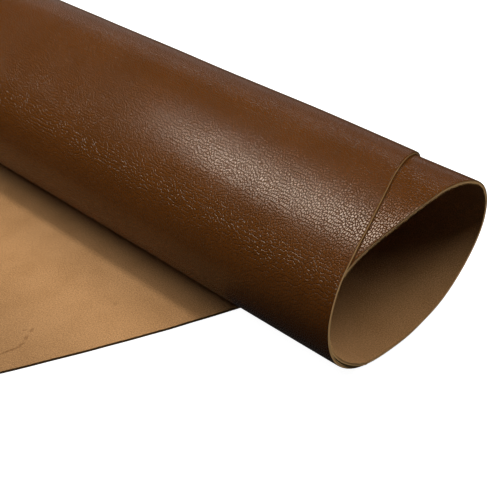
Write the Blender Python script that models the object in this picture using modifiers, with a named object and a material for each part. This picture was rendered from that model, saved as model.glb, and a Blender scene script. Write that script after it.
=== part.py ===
"""A hide of pebbled leather, rolled up from one end with its suede side in.

One cut sheet lies flat on its grain side at the left, passes under the roll and
winds up into it for nearly two turns, each turn a little inside the last.
Metres, +Z up, the roll along Y with its near mouth at -Y, origin under the
middle of the whole piece.
"""

import bisect
import math

import bmesh
import bpy
from mathutils import Vector

LEATHER = 0.0020
GAP = 0.0005
TURNS = 1.94
APRON = 0.195
HIDE_DEPTH = 0.500

COLUMNS_A_TURN = 70
APRON_COLUMNS = 8
ROWS = 8
LENGTH_STEPS = 2000

# Section of the roll's grain side at the start of its second turn: corners of
# a closed uniform cubic B-spline, from the lowest one on towards +X.
# across, height
SECTION = (
    (0.0000, 0.0017),
    (0.0285, 0.0041),
    (0.0555, 0.0140),
    (0.0780, 0.0320),
    (0.0930, 0.0560),
    (0.0885, 0.0825),
    (0.0665, 0.0955),
    (0.0390, 0.0990),
    (0.0130, 0.0910),
    (-0.0130, 0.0810),
    (-0.0370, 0.0695),
    (-0.0525, 0.0460),
    (-0.0495, 0.0200),
    (-0.0285, 0.0041),
)

# The hide's bowed near edge: how far it lies back from the roll's mouth, by the
# length along the sheet from where it leaves the table.
# along, back
NEAR_EDGE = (
    (-0.240, 0.1905),
    (-0.160, 0.1520),
    (-0.080, 0.1165),
    (0.000, 0.0870),
    (0.080, 0.0640),
    (0.160, 0.0445),
    (0.240, 0.0212),
    (0.320, 0.0072),
    (0.400, 0.0010),
    (0.480, 0.0002),
    (0.560, 0.0050),
    (0.640, 0.0165),
    (0.720, 0.0000),
)

GRAIN_COLOUR = (0.120, 0.050, 0.020, 1.0)
FLESH_COLOUR = (0.430, 0.235, 0.105, 1.0)


def spline_weights(t):
    """Weights of four neighbouring corners, and their slopes, on a cubic B-spline."""
    weights = (
        (1 - t) ** 3 / 6,
        (3 * t**3 - 6 * t**2 + 4) / 6,
        (-3 * t**3 + 3 * t**2 + 3 * t + 1) / 6,
        t**3 / 6,
    )
    slopes = (
        -((1 - t) ** 2) / 2,
        (3 * t**2 - 4 * t) / 2,
        (-3 * t**2 + 2 * t + 1) / 2,
        t**2 / 2,
    )
    return weights, slopes


def wound(turn):
    """Middle of the leather's thickness, across and up, this many turns into the roll."""
    corner, t = divmod(turn * len(SECTION), 1.0)
    corners = [Vector(SECTION[(int(corner) + i - 1) % len(SECTION)]) for i in range(4)]
    weights, slopes = spline_weights(t)
    point = sum((w * c for w, c in zip(weights, corners)), Vector((0.0, 0.0)))
    along = sum((s * c for s, c in zip(slopes, corners)), Vector((0.0, 0.0))).normalized()
    inward = Vector((-along.y, along.x))
    return point + inward * ((LEATHER + GAP) * (turn - 1.0) + LEATHER / 2)


def roll_lengths():
    """Length along the sheet at each of LENGTH_STEPS equal steps of TURNS."""
    points = [wound(TURNS * i / LENGTH_STEPS) for i in range(LENGTH_STEPS + 1)]
    lengths = [0.0]
    for before, after in zip(points, points[1:]):
        lengths.append(lengths[-1] + (after - before).length)
    return lengths


def near_edge(along):
    """Set-back of the near edge at this length along the sheet, on a smooth curve."""
    row = bisect.bisect_right([start for start, _ in NEAR_EDGE], along) - 1
    before, start, end, after = (
        NEAR_EDGE[min(max(row + step, 0), len(NEAR_EDGE) - 1)][1] for step in (-1, 0, 1, 2)
    )
    t = (along - NEAR_EDGE[row][0]) / (NEAR_EDGE[row + 1][0] - NEAR_EDGE[row][0])
    leaving, arriving = (end - before) / 2, (after - start) / 2
    return (
        (2 * t**3 - 3 * t**2 + 1) * start
        + (t**3 - 2 * t**2 + t) * leaving
        + (3 * t**2 - 2 * t**3) * end
        + (t**3 - t**2) * arriving
    )


def sheet_columns():
    """Across, height and length along the sheet of each column, from the flat end in."""
    columns = []
    for i in range(APRON_COLUMNS):
        along = APRON * (i / APRON_COLUMNS - 1)
        columns.append((along, LEATHER / 2, along))
    lengths = roll_lengths()
    steps = math.ceil(TURNS * COLUMNS_A_TURN)
    for i in range(steps + 1):
        turn = min(i / COLUMNS_A_TURN, TURNS)
        across, height = wound(turn)
        columns.append((across, height, lengths[round(turn / TURNS * LENGTH_STEPS)]))
    return columns


def leather_material(name, colour, roughness):
    material = bpy.data.materials.new(name)
    material.use_nodes = True
    shader = material.node_tree.nodes["Principled BSDF"]
    shader.inputs["Base Color"].default_value = colour
    shader.inputs["Roughness"].default_value = roughness
    shader.inputs["Metallic"].default_value = 0.0
    return material


def rolled_sheet(collection):
    """A flat grid whose columns follow the roll, given the leather's thickness."""
    columns = sheet_columns()
    mesh = bpy.data.meshes.new("hide")
    grid = bmesh.new()
    bmesh.ops.create_grid(grid, x_segments=len(columns) - 1, y_segments=ROWS, size=0.5)
    for vertex in grid.verts:
        across, height, along = columns[round((vertex.co.x + 0.5) * (len(columns) - 1))]
        back = near_edge(along)
        depth = back + (vertex.co.y + 0.5) * (HIDE_DEPTH - back)
        vertex.co = (across, depth, height)
    grid.to_mesh(mesh)
    grid.free()
    mesh.shade_smooth()
    hide = bpy.data.objects.new("hide", mesh)
    hide.data.materials.append(leather_material("suede side", FLESH_COLOUR, 0.95))
    hide.data.materials.append(leather_material("grain side", GRAIN_COLOUR, 0.42))
    thickness = hide.modifiers.new("leather", "SOLIDIFY")
    thickness.thickness = LEATHER
    thickness.offset = 0.0
    thickness.use_even_offset = True
    thickness.material_offset = 1
    thickness.material_offset_rim = 0
    collection.objects.link(hide)
    return hide


def centre_over_origin(hide):
    """Move the piece so that the origin is under the middle of its box."""
    bpy.context.view_layer.update()
    corners = [Vector(c) for c in hide.evaluated_get(bpy.context.evaluated_depsgraph_get()).bound_box]
    for axis in (0, 1):
        hide.location[axis] = -(min(c[axis] for c in corners) + max(c[axis] for c in corners)) / 2


def main():
    for old in list(bpy.data.objects):
        bpy.data.objects.remove(old)
    collection = bpy.data.collections.new("leather hide")
    bpy.context.scene.collection.children.link(collection)
    centre_over_origin(rolled_sheet(collection))


main()
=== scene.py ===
"""The looks of a rolled hide of pebbled leather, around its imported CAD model.

One sheet replaces the CAD node: the same roll with a fine grid, a rounded cut
edge and three finishes, the pebbled grain side, the suede side and the raw cut.
Loose fibres stand along the cut at the mouth. Metres, +Z up, near mouth at -Y.
"""

import bisect
import math
import random

import bmesh
import bpy
from mathutils import Matrix, Vector, noise


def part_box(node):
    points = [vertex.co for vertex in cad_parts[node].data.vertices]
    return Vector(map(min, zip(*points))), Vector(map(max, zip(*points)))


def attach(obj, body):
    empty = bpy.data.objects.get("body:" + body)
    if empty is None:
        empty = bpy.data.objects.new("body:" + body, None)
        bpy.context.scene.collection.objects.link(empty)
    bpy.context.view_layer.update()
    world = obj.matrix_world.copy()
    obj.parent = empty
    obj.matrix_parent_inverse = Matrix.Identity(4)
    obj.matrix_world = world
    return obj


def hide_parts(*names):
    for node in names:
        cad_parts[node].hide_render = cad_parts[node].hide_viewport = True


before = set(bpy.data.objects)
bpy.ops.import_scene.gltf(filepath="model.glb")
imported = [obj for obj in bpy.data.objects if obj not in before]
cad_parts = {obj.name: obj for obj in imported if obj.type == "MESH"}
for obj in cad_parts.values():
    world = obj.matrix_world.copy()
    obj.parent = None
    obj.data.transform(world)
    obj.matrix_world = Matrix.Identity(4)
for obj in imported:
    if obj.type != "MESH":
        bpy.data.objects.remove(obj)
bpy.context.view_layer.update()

# Sizes of the hide, as in its part file
LEATHER = 0.0020
GAP = 0.0005
TURNS = 1.94
APRON = 0.195
HIDE_DEPTH = 0.500
LENGTH_STEPS = 4000

# Section of the roll's grain side at the start of its second turn: corners of
# a closed uniform cubic B-spline, from the lowest one on towards +X.
# across, height
SECTION = (
    (0.0000, 0.0017),
    (0.0285, 0.0041),
    (0.0555, 0.0140),
    (0.0780, 0.0320),
    (0.0930, 0.0560),
    (0.0885, 0.0825),
    (0.0665, 0.0955),
    (0.0390, 0.0990),
    (0.0130, 0.0910),
    (-0.0130, 0.0810),
    (-0.0370, 0.0695),
    (-0.0525, 0.0460),
    (-0.0495, 0.0200),
    (-0.0285, 0.0041),
)

# The hide's bowed near edge: how far it lies back from the roll's mouth, by the
# length along the sheet from where it leaves the table.
# along, back
NEAR_EDGE = (
    (-0.240, 0.1905),
    (-0.160, 0.1520),
    (-0.080, 0.1165),
    (0.000, 0.0870),
    (0.080, 0.0640),
    (0.160, 0.0445),
    (0.240, 0.0212),
    (0.320, 0.0072),
    (0.400, 0.0010),
    (0.480, 0.0002),
    (0.560, 0.0050),
    (0.640, 0.0165),
    (0.720, 0.0000),
)

# The fine sheet: columns wind with the roll, rows run from the near edge back
COLUMN_STEP = 0.0026
ROWS = 84
CUT_STEPS = (0.0, 0.00025, 0.0006, 0.0012, 0.0025)
ARRIS = 0.00018
ARRIS_REACH = 0.0005
CROWN = 0.00038
CUT_WANDER = 0.00022
UNEVEN = 0.0005
UNEVEN_SPAN = 0.085
FLOOR_CALM = 0.030
SETTLED = 0.0004
SETTLED_SPAN = (0.030, 0.335)
SETTLED_FADE = 0.050
SETTLED_REACH = 0.020

# Slots of the sheet's materials, and the attribute that holds each point's
# place on the flat hide: along, back, and through the thickness, in metres
SUEDE, GRAIN, CUT = range(3)
FLAT_PLACE = "flat_place"

# The suede darkens towards the flat end, and has a few worn marks near it
FLAT_END_DARKENING_SPAN = (-0.185, -0.085)
FLAT_END_DARKENING_LEVEL = 0.72
# Marks: place on the flat hide, half lengths, turn in degrees, how dark
MARKS = (
    ((-0.1545, 0.1678), (0.0095, 0.0012), -16.0, 0.65),
    ((-0.1470, 0.1668), (0.0042, 0.0013), 8.0, 0.55),
    ((-0.1405, 0.1700), (0.0036, 0.0016), 35.0, 0.50),
    ((-0.1340, 0.1735), (0.0034, 0.0014), 25.0, 0.50),
    ((-0.1370, 0.1765), (0.0024, 0.0013), -30.0, 0.45),
    ((-0.0822, 0.1559), (0.0024, 0.0018), 0.0, 0.35),
)

# The cut is darker brown by the flat end and pale at the mouth, and the
# finish has soaked into it from the grain side: spans along and through the hide
BROWN_END_SPAN = (0.05, 0.36)
SOAKED_SPAN = (0.00070, 0.00105)

# Loose fibres of the suede along the cut at the mouth
FIBRES = 1800
FIBRE_SPAN = (0.375, 0.708)
FIBRE_LENGTH = (0.0005, 0.0014)
FIBRE_RADIUS = (0.00007, 0.00016)
FIBRE_SEED = 5

# Patterns of the finishes: repeats in a metre along the hide, across it and through it
PEBBLES = (430.0, 690.0, 0.0)
WRINKLES = (1150.0, 1400.0, 0.0)
PORES = (380.0, 430.0, 0.0)
SUEDE_NAP = (1000.0, 1300.0, 1000.0)
CUT_FIBRES = (1500.0, 1500.0, 3200.0)

# Heights of their bumps, in metres
GRAIN_BUMP = 0.00026
SUEDE_BUMP = 0.0006
CUT_BUMP = 0.00025

# Their colours, linear red, green, blue and alpha
PEBBLE_TONES = ((0.135, 0.0398, 0.0042, 1.0), (0.119, 0.0350, 0.0036, 1.0))
# painted shade: the dark colour put into the grain's creases and pores
CREASE_PAINTED_SHADE_TONE = (0.064, 0.0190, 0.0022, 1.0)
GLOSS_TINT = (1.0, 0.87, 0.70, 1.0)
SUEDE_TONES = ((0.430, 0.228, 0.094, 1.0), (0.385, 0.198, 0.076, 1.0))
SUEDE_DRIFT_TONE = (0.31, 0.152, 0.054, 1.0)
SHEEN_TINT = (0.9, 0.72, 0.52, 1.0)
MARK_TONE = (0.16, 0.07, 0.022, 1.0)
CUT_TONES = ((0.76, 0.440, 0.175, 1.0), (0.88, 0.570, 0.265, 1.0))
BROWN_END_TONE = (0.19, 0.090, 0.028, 1.0)
SOAKED_TONE = (0.22, 0.095, 0.028, 1.0)

# Roughness of the grain side, in the creases and on top of the pebbles
CREASE_ROUGHNESS = 0.33
PEBBLE_ROUGHNESS = 0.20

# Camera, table and sky
CAMERA_AT = (-0.3316, -0.4963, 0.4000)
CAMERA_DOWN = 35.714
CAMERA_AZIMUTH = -46.60
CAMERA_LENS = 72.0
WHITE = (1.0, 1.0, 1.0, 1.0)
TABLE_TONE = (0.45, 0.45, 0.45, 1.0)
TABLE_GLOW = 0.97
SKY_STRENGTH = 0.03


def spline_weights(t):
    """Weights of four neighbouring corners, and their slopes, on a cubic B-spline."""
    weights = (
        (1 - t) ** 3 / 6,
        (3 * t**3 - 6 * t**2 + 4) / 6,
        (-3 * t**3 + 3 * t**2 + 3 * t + 1) / 6,
        t**3 / 6,
    )
    slopes = (
        -((1 - t) ** 2) / 2,
        (3 * t**2 - 4 * t) / 2,
        (-3 * t**2 + 2 * t + 1) / 2,
        t**2 / 2,
    )
    return weights, slopes


def wound(turn):
    """Middle of the leather's thickness and its inward side, this many turns into the roll."""
    corner, t = divmod(turn * len(SECTION), 1.0)
    corners = [Vector(SECTION[(int(corner) + i - 1) % len(SECTION)]) for i in range(4)]
    weights, slopes = spline_weights(t)
    point = sum((w * c for w, c in zip(weights, corners)), Vector((0.0, 0.0)))
    along = sum((s * c for s, c in zip(slopes, corners)), Vector((0.0, 0.0))).normalized()
    inward = Vector((-along.y, along.x))
    return point + inward * ((LEATHER + GAP) * (turn - 1.0) + LEATHER / 2), inward


def near_edge(along):
    """Set-back of the near edge at this length along the sheet, on a smooth curve."""
    row = bisect.bisect_right([start for start, _ in NEAR_EDGE], along) - 1
    before, start, end, after = (
        NEAR_EDGE[min(max(row + step, 0), len(NEAR_EDGE) - 1)][1] for step in (-1, 0, 1, 2)
    )
    t = (along - NEAR_EDGE[row][0]) / (NEAR_EDGE[row + 1][0] - NEAR_EDGE[row][0])
    leaving, arriving = (end - before) / 2, (after - start) / 2
    return (
        (2 * t**3 - 3 * t**2 + 1) * start
        + (t**3 - 2 * t**2 + t) * leaving
        + (3 * t**2 - 2 * t**3) * end
        + (t**3 - t**2) * arriving
    )


def near_cut(along):
    """The near edge with the small wander of its cut, never nearer than the mouth."""
    edge = near_edge(along)
    return edge + max(CUT_WANDER * noise.noise((along * 60.0, 7.0, 0.0)), -edge)


def spaced(length, step):
    """Distances from 0 to length about a step apart, closer together at both cut ends."""
    first, last = CUT_STEPS[-1], length - CUT_STEPS[-1]
    count = round((last - first) / step)
    middle = [first + (last - first) * i / count for i in range(1, count)]
    return [*CUT_STEPS, *middle, *(length - cut for cut in reversed(CUT_STEPS))]


def sheet_columns():
    """Middle point, inward side and length along the sheet of each column, from the flat end in."""
    turns = [TURNS * i / LENGTH_STEPS for i in range(LENGTH_STEPS + 1)]
    points = [wound(turn)[0] for turn in turns]
    lengths = [0.0]
    for before, after in zip(points, points[1:]):
        lengths.append(lengths[-1] + (after - before).length)
    columns = []
    for distance in spaced(APRON + lengths[-1], COLUMN_STEP):
        along = distance - APRON
        if along <= 0.0:
            columns.append((Vector((along, LEATHER / 2)), Vector((0.0, 1.0)), along))
            continue
        step = min(bisect.bisect_left(lengths, along), LENGTH_STEPS)
        share = (along - lengths[step - 1]) / (lengths[step] - lengths[step - 1])
        point, inward = wound(turns[step - 1] + (turns[step] - turns[step - 1]) * share)
        columns.append((point, inward, along))
    return columns


def to_row_frame():
    """Shift from the section's own coordinates to the CAD node's place."""
    low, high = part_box("hide")
    return Vector((low.x + APRON, high.y - HIDE_DEPTH, 0.0))


def uneven(point):
    """How far the hide stands off its even roll at a point, out along the roll's outward side.

    It depends on the place alone, so turns that touch move together."""
    calm = min(1.0, max(0.0, point.z - LEATHER) / FLOOR_CALM)
    return UNEVEN * calm * noise.noise(point / UNEVEN_SPAN)


def settled(along, from_edge):
    """How far the first turn's near edge lies down on the turn inside it."""
    first, last = SETTLED_SPAN
    share = min(1.0, max(0.0, along - first) / SETTLED_FADE, max(0.0, last - along) / SETTLED_FADE)
    return SETTLED * share * math.exp(-from_edge / SETTLED_REACH)


def side_grid(shell, columns, rows, side, shift):
    """One side of the sheet: side is 1 for the grain side and -1 for the suede side."""
    flat_place = shell.verts.layers.float_vector[FLAT_PLACE]
    made = bmesh.ops.create_grid(
        shell, x_segments=len(columns) - 1, y_segments=len(rows) - 1, size=0.5
    )
    length = columns[-1][2] + APRON
    for vertex in made["verts"]:
        middle, inward, along = columns[round((vertex.co.x + 0.5) * (len(columns) - 1))]
        share = rows[round((vertex.co.y + 0.5) * (len(rows) - 1))]
        near = near_cut(along)
        back = near + share * (HIDE_DEPTH - near) / HIDE_DEPTH
        out = Vector((-inward.x, 0.0, -inward.y))
        place = Vector((middle.x, back, middle.y))
        to_cut = min(back - near, HIDE_DEPTH - back, along + APRON, length - APRON - along)
        half = LEATHER / 2 - ARRIS * math.exp(-((to_cut / ARRIS_REACH) ** 2))
        stands_off = uneven(place) - settled(along, back - near)
        vertex.co = place + out * (side * half + stands_off) + shift
        vertex[flat_place] = (along, back, side * LEATHER / 2)
    faces = {face for vertex in made["verts"] for face in vertex.link_faces}
    for face in faces:
        face.material_index = GRAIN if side > 0 else SUEDE
        face.smooth = True
    if side < 0:
        bmesh.ops.reverse_faces(shell, faces=list(faces))
    return [edge for face in faces for edge in face.edges if edge.is_boundary]


def rolled_sheet():
    """The hide as one closed sheet with a crowned cut edge."""
    shell = bmesh.new()
    shell.verts.layers.float_vector.new(FLAT_PLACE)
    columns = sheet_columns()
    rows = spaced(HIDE_DEPTH, HIDE_DEPTH / ROWS)
    shift = to_row_frame()
    rims = []
    for side in (1, -1):
        rims += side_grid(shell, columns, rows, side, shift)
    bridge = bmesh.ops.bridge_loops(shell, edges=list(set(rims)))
    flat_place = shell.verts.layers.float_vector[FLAT_PLACE]
    across = {
        edge
        for face in bridge["faces"]
        for edge in face.edges
        if edge.verts[0][flat_place].z * edge.verts[1][flat_place].z < 0
    }
    for face in bridge["faces"]:
        face.material_index = CUT
        face.smooth = True
    ring = bmesh.ops.subdivide_edges(shell, edges=list(across), cuts=3, use_grid_fill=True)
    shell.normal_update()
    crowned = [v for v in ring["geom_inner"] if isinstance(v, bmesh.types.BMVert)]
    for vertex in crowned:
        share = vertex[flat_place].z / (LEATHER / 2)
        vertex.co += vertex.normal * CROWN * (1 - share**2)
    bmesh.ops.recalc_face_normals(shell, faces=shell.faces)
    mesh = bpy.data.meshes.new("rolled_sheet")
    shell.to_mesh(mesh)
    shell.free()
    return mesh


def loose_fibres():
    """Thin spikes that lean in over the mouth from the suede's cut corner, as one mesh."""
    chance = random.Random(FIBRE_SEED)
    shift = to_row_frame()
    columns = [column for column in sheet_columns() if FIBRE_SPAN[0] < column[2] < FIBRE_SPAN[1]]
    spikes = bmesh.new()
    flat_place = spikes.verts.layers.float_vector.new(FLAT_PLACE)
    for _ in range(FIBRES):
        step, share = chance.randrange(len(columns) - 1), chance.random()
        (middle, inward, along), (next_middle, next_inward, next_along) = columns[step : step + 2]
        middle = middle.lerp(next_middle, share)
        inward = inward.lerp(next_inward, share).normalized()
        along += (next_along - along) * share
        back = near_cut(along) + ARRIS
        place = Vector((middle.x, back, middle.y))
        out = Vector((-inward.x, 0.0, -inward.y))
        root = place + out * (uneven(place) - LEATHER / 2 + ARRIS) + shift
        round_roll = Vector((out.z, 0.0, -out.x))
        lean = (
            out * -chance.uniform(0.3, 1.0)
            + Vector((0.0, -chance.uniform(0.2, 1.0), 0.0))
            + round_roll * chance.uniform(-0.8, 0.8)
        ).normalized()
        length = chance.uniform(*FIBRE_LENGTH)
        turned = Vector((0.0, 0.0, 1.0)).rotation_difference(lean).to_matrix().to_4x4()
        spike = bmesh.ops.create_cone(
            spikes,
            cap_ends=True,
            cap_tris=True,
            segments=3,
            radius1=chance.uniform(*FIBRE_RADIUS),
            radius2=0.0,
            depth=length,
            matrix=Matrix.Translation(root + lean * length * 0.4) @ turned,
        )
        for vertex in spike["verts"]:
            vertex[flat_place] = (along, back, -LEATHER / 2)
    mesh = bpy.data.meshes.new("loose_fibres")
    spikes.to_mesh(mesh)
    spikes.free()
    return mesh


def add_node(tree, kind, inputs=None, **settings):
    """A node with its settings, and its inputs linked or given a value."""
    made = tree.nodes.new(kind)
    for name, value in settings.items():
        setattr(made, name, value)
    for key, value in (inputs or {}).items():
        socket = made.inputs[key]
        if isinstance(value, bpy.types.NodeSocket):
            tree.links.new(value, socket)
        else:
            socket.default_value = value
    return made


def new_finish(name):
    """A material's node tree, its shader and the flat place of each point."""
    material = bpy.data.materials.new(name)
    material.use_nodes = True
    tree = material.node_tree
    shader = tree.nodes["Principled BSDF"]
    place = add_node(tree, "ShaderNodeAttribute", attribute_name=FLAT_PLACE).outputs["Vector"]
    return material, tree, shader, place


def scaled(tree, vector, scale):
    return add_node(
        tree, "ShaderNodeMapping", {"Vector": vector, "Scale": scale}
    ).outputs["Vector"]


def noise_of(tree, vector, scale, detail=2.0, roughness=0.5):
    return add_node(
        tree,
        "ShaderNodeTexNoise",
        {"Vector": vector, "Scale": scale, "Detail": detail, "Roughness": roughness},
    )


def stepped(tree, value, low, high, to_low=0.0, to_high=1.0):
    """value taken smoothly from low..high to to_low..to_high."""
    return add_node(
        tree,
        "ShaderNodeMapRange",
        {"Value": value, "From Min": low, "From Max": high, "To Min": to_low, "To Max": to_high},
        interpolation_type="SMOOTHSTEP",
    ).outputs["Result"]


def maths(tree, operation, *values):
    made = add_node(tree, "ShaderNodeMath", dict(enumerate(values)), operation=operation)
    return made.outputs["Value"]


def blended(tree, share, first, second, blend_type="MIX"):
    """A mix of two colours; sockets 6 and 7 are a colour mix's two ends."""
    made = add_node(
        tree,
        "ShaderNodeMix",
        {0: share, 6: first, 7: second},
        data_type="RGBA",
        blend_type=blend_type,
    )
    return made.outputs[2]


def bump_of(tree, height, distance, strength=1.0):
    return add_node(
        tree, "ShaderNodeBump", {"Height": height, "Distance": distance, "Strength": strength}
    ).outputs["Normal"]


def wandering(tree, place, scale, reach):
    """place pushed about by a noise, so that a pattern's lines aren't straight."""
    push = noise_of(tree, place, scale).outputs["Color"]
    centred = add_node(
        tree, "ShaderNodeVectorMath", {0: push, 1: (0.5, 0.5, 0.5)}, operation="SUBTRACT"
    ).outputs["Vector"]
    moved = add_node(
        tree,
        "ShaderNodeVectorMath",
        {0: centred, 1: (reach, reach, reach), 2: place},
        operation="MULTIPLY_ADD",
    )
    return moved.outputs["Vector"]


def along_hide(tree, place):
    """Length along the flat hide at each point."""
    return add_node(tree, "ShaderNodeSeparateXYZ", {"Vector": place}).outputs["X"]


def shade_of(tree, level):
    """A grey of this level, to multiply a colour by."""
    grey = add_node(tree, "ShaderNodeCombineColor", {"Red": level, "Green": level, "Blue": level})
    return grey.outputs["Color"]


def smudge(tree, place, mark, size, turn, depth):
    """Share of a worn mark: an uneven oval at a point of the flat hide, its long way turned."""
    wavy = wandering(tree, place, 260.0, 0.0022)
    moved = add_node(
        tree,
        "ShaderNodeVectorMath",
        {0: wavy, 1: (mark[0], mark[1], -LEATHER / 2)},
        operation="SUBTRACT",
    ).outputs["Vector"]
    oval = add_node(
        tree,
        "ShaderNodeMapping",
        {"Vector": moved, "Rotation": (0.0, 0.0, -math.radians(turn))},
    ).outputs["Vector"]
    inside = scaled(tree, oval, (1.0 / size[0], 1.0 / size[1], 0.0))
    reach = add_node(tree, "ShaderNodeVectorMath", {0: inside}, operation="LENGTH").outputs["Value"]
    return stepped(tree, reach, 0.3, 1.0, depth, 0.0)


def grain_finish():
    """Pigmented, semi-gloss grain: pebbles longer round the roll than along it, creases and pores, with
    painted shade darkening the creases and pores.
    """
    material, tree, shader, place = new_finish("pebbled_grain")
    wandered = wandering(tree, place, 320.0, 0.0008)
    pebbles = add_node(
        tree,
        "ShaderNodeTexVoronoi",
        {"Vector": scaled(tree, wandered, PEBBLES), "Scale": 1.0, "Randomness": 0.85},
        voronoi_dimensions="2D",
        feature="DISTANCE_TO_EDGE",
    ).outputs["Distance"]
    wrinkles = add_node(
        tree,
        "ShaderNodeTexVoronoi",
        {"Vector": scaled(tree, wandered, WRINKLES), "Scale": 1.0},
        voronoi_dimensions="2D",
        feature="DISTANCE_TO_EDGE",
    ).outputs["Distance"]
    pores = add_node(
        tree,
        "ShaderNodeTexVoronoi",
        {"Vector": scaled(tree, wandered, PORES), "Scale": 1.0},
        voronoi_dimensions="2D",
    ).outputs["Distance"]
    # crown is a pebble's share in the colour, where no shade is painted into the crease; dome its
    # height over the sharp crease
    crown = stepped(tree, pebbles, 0.05, 0.24)
    dome = stepped(tree, pebbles, -0.04, 0.21)
    fine = stepped(tree, wrinkles, 0.0, 0.10)
    pit = stepped(tree, pores, 0.10, 0.24)
    lively = stepped(tree, noise_of(tree, place, 28.0).outputs["Fac"], 0.3, 0.7, 0.75, 1.0)
    height = maths(tree, "MULTIPLY_ADD", fine, 0.01, maths(tree, "MULTIPLY", dome, 0.95))
    height = maths(tree, "MULTIPLY_ADD", pit, 0.04, height)
    height = maths(tree, "MULTIPLY", height, lively)
    mottle = noise_of(tree, place, 22.0, 4.0).outputs["Fac"]
    top = blended(tree, stepped(tree, mottle, 0.35, 0.65), *PEBBLE_TONES)
    # painted shade: creases and pores are darkened in the base colour, in place of the shade that falls
    # in them
    unshaded_share = maths(tree, "MULTIPLY", crown, stepped(tree, pores, 0.08, 0.2))
    colour = blended(tree, stepped(tree, unshaded_share, 0.0, 0.9), CREASE_PAINTED_SHADE_TONE, top)
    roughness = stepped(tree, dome, 0.3, 0.95, CREASE_ROUGHNESS, PEBBLE_ROUGHNESS)
    tree.links.new(colour, shader.inputs["Base Color"])
    tree.links.new(bump_of(tree, height, GRAIN_BUMP), shader.inputs["Normal"])
    tree.links.new(roughness, shader.inputs["Roughness"])
    shader.inputs["Specular IOR Level"].default_value = 0.6
    shader.inputs["Specular Tint"].default_value = GLOSS_TINT
    return material


def suede_finish():
    """Napped flesh side: short fibres, soft mottling, a darker flat end and worn marks."""
    material, tree, shader, place = new_finish("suede_flesh_side")
    nap = noise_of(tree, scaled(tree, place, SUEDE_NAP), 1.0, 4.0, 0.7).outputs["Fac"]
    drift = noise_of(tree, place, 32.0, 5.0, 0.6).outputs["Fac"]
    cloud = noise_of(tree, place, 9.0, 3.0, 0.5).outputs["Fac"]
    colour = blended(tree, stepped(tree, cloud, 0.3, 0.7), *SUEDE_TONES)
    drifted = stepped(tree, drift, 0.40, 0.72, 0.0, 0.45)
    colour = blended(tree, drifted, colour, SUEDE_DRIFT_TONE)
    # the suede's colour is made darker towards the flat end
    flat_end_darkening = stepped(tree, along_hide(tree, place), *FLAT_END_DARKENING_SPAN, FLAT_END_DARKENING_LEVEL, 1.0)
    colour = blended(tree, 1.0, colour, shade_of(tree, flat_end_darkening), "MULTIPLY")
    for mark in MARKS:
        colour = blended(tree, smudge(tree, place, *mark), colour, MARK_TONE)
    fibre = stepped(tree, nap, 0.34, 0.66, 0.76, 1.34)
    colour = blended(tree, 1.0, colour, shade_of(tree, fibre), "MULTIPLY")
    tree.links.new(colour, shader.inputs["Base Color"])
    tree.links.new(bump_of(tree, nap, SUEDE_BUMP, 0.8), shader.inputs["Normal"])
    shader.inputs["Roughness"].default_value = 0.92
    shader.inputs["Specular IOR Level"].default_value = 0.2
    shader.inputs["Sheen Weight"].default_value = 0.15
    shader.inputs["Sheen Roughness"].default_value = 0.5
    shader.inputs["Sheen Tint"].default_value = SHEEN_TINT
    return material


def cut_finish():
    """Raw cut: pale fibres, brown by the flat end, with the finish soaked in at the grain side."""
    material, tree, shader, place = new_finish("raw_cut_edge")
    through = add_node(tree, "ShaderNodeSeparateXYZ", {"Vector": place}).outputs["Z"]
    fibres = noise_of(tree, scaled(tree, place, CUT_FIBRES), 1.0, 3.0, 0.6).outputs["Fac"]
    colour = blended(tree, fibres, *CUT_TONES)
    # the cut's colour is made darker brown towards the flat end
    brown_end = stepped(tree, along_hide(tree, place), *BROWN_END_SPAN, 0.85, 0.0)
    colour = blended(tree, brown_end, colour, BROWN_END_TONE)
    colour = blended(tree, stepped(tree, through, *SOAKED_SPAN), colour, SOAKED_TONE)
    tree.links.new(colour, shader.inputs["Base Color"])
    tree.links.new(bump_of(tree, fibres, CUT_BUMP, 0.7), shader.inputs["Normal"])
    shader.inputs["Roughness"].default_value = 0.85
    shader.inputs["Specular IOR Level"].default_value = 0.3
    return material


def add_camera():
    lens = bpy.data.cameras.new("camera")
    lens.lens = CAMERA_LENS
    lens.sensor_width = 36.0
    lens.clip_start = 0.01
    camera = bpy.data.objects.new("camera", lens)
    camera.location = CAMERA_AT
    camera.rotation_euler = (math.radians(90 - CAMERA_DOWN), 0.0, math.radians(CAMERA_AZIMUTH))
    bpy.context.collection.objects.link(camera)
    bpy.context.scene.camera = camera


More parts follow.
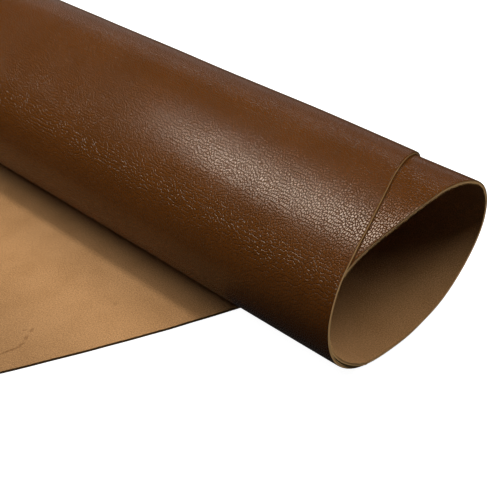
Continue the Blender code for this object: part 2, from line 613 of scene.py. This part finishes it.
def add_floor():
    """A plain white table that reads as white paper, and lights nothing itself."""
    material = bpy.data.materials.new("white_table")
    material.use_nodes = True
    shader = material.node_tree.nodes["Principled BSDF"]
    shader.inputs["Base Color"].default_value = TABLE_TONE
    shader.inputs["Roughness"].default_value = 0.9
    shader.inputs["Specular IOR Level"].default_value = 0.1
    shader.inputs["Emission Color"].default_value = WHITE
    shader.inputs["Emission Strength"].default_value = TABLE_GLOW
    table = bmesh.new()
    bmesh.ops.create_grid(table, x_segments=1, y_segments=1, size=4.0)
    mesh = bpy.data.meshes.new("floor")
    table.to_mesh(mesh)
    table.free()
    mesh.materials.append(material)
    floor = bpy.data.objects.new("floor", mesh)
    floor.visible_diffuse = False
    floor.visible_glossy = False
    bpy.context.collection.objects.link(floor)
    return floor


def add_softbox(name, place, size, watts, turn=0.0, tilt=0.0, in_gloss=True):
    """A rectangle of light facing down, tilted up towards +Y and then turned, in degrees."""
    lamp = bpy.data.lights.new(name, "AREA")
    lamp.shape = "RECTANGLE"
    lamp.size, lamp.size_y = size
    lamp.energy = watts
    softbox = bpy.data.objects.new(name, lamp)
    softbox.location = place
    softbox.rotation_euler = (math.radians(tilt), 0.0, math.radians(turn))
    softbox.visible_camera = False
    softbox.visible_glossy = in_gloss
    bpy.context.collection.objects.link(softbox)


def add_lights():
    add_softbox("back_softbox", (-0.42, 0.60, 1.30), (1.40, 0.70), 15.5, in_gloss=False)
    add_softbox("front_softbox", (0.84, -0.86, 1.30), (0.80, 1.20), 18.4, turn=22, in_gloss=False)
    add_softbox("strip_softbox", (0.162, 0.38, 1.22), (0.18, 1.02), 7.2)
    add_softbox("rim_card", (1.20, 0.95, 0.11), (1.60, 0.22), 0.6, turn=128, tilt=88)
    world = bpy.data.worlds.new("studio")
    world.use_nodes = True
    sky = world.node_tree.nodes["Background"]
    sky.inputs["Color"].default_value = WHITE
    sky.inputs["Strength"].default_value = SKY_STRENGTH
    bpy.context.scene.world = world
    bpy.context.scene.view_settings.view_transform = "Standard"


def dress_hide():
    cut = cut_finish()
    mesh = rolled_sheet()
    for finish in (suede_finish(), grain_finish(), cut):
        mesh.materials.append(finish)
    nap_mesh = loose_fibres()
    nap_mesh.materials.append(cut)
    hide = bpy.data.objects.new("rolled_hide", mesh)
    nap = bpy.data.objects.new("loose_fibres", nap_mesh)
    for piece in (hide, nap):
        bpy.context.collection.objects.link(piece)
        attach(piece, "root")
    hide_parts("hide")


floor = add_floor()
add_camera()
add_lights()
dress_hide()
